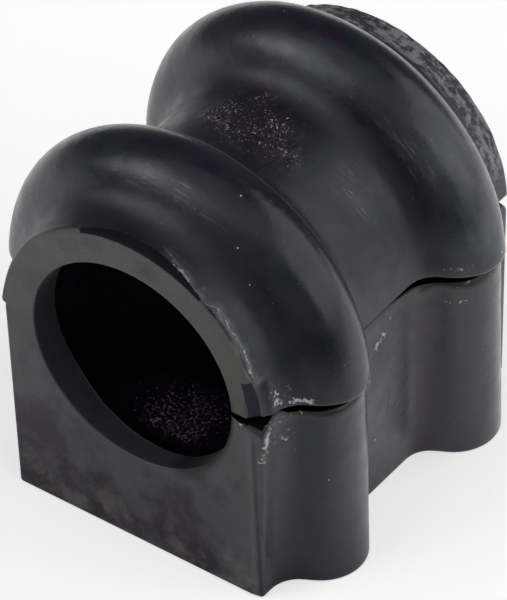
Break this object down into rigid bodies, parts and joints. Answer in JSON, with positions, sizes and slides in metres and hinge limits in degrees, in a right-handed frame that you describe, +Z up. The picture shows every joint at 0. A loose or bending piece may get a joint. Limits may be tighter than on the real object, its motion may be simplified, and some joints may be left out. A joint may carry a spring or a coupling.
{
  "type": "sway bar bushing",
  "caption": "Rubber sway bar bushing: arched top on straight legs, slit bore for the bar, and a strap seat between two rounded beads.",
  "frame": {"origin": "centre of the flat underside, midway between the two end faces", "axes": "+Z up from the underside to the top of the arch; +Y along the bore from the front face to the rear face; +X towards the slit side"},
  "size_m": [0.0416, 0.0412, 0.0444],
  "materials": {
    "rubber": "semi-matt moulded black rubber"
  },
  "bodies": {
    "root": {"bushing_body": "rubber"}
  },
  "joints": []
}
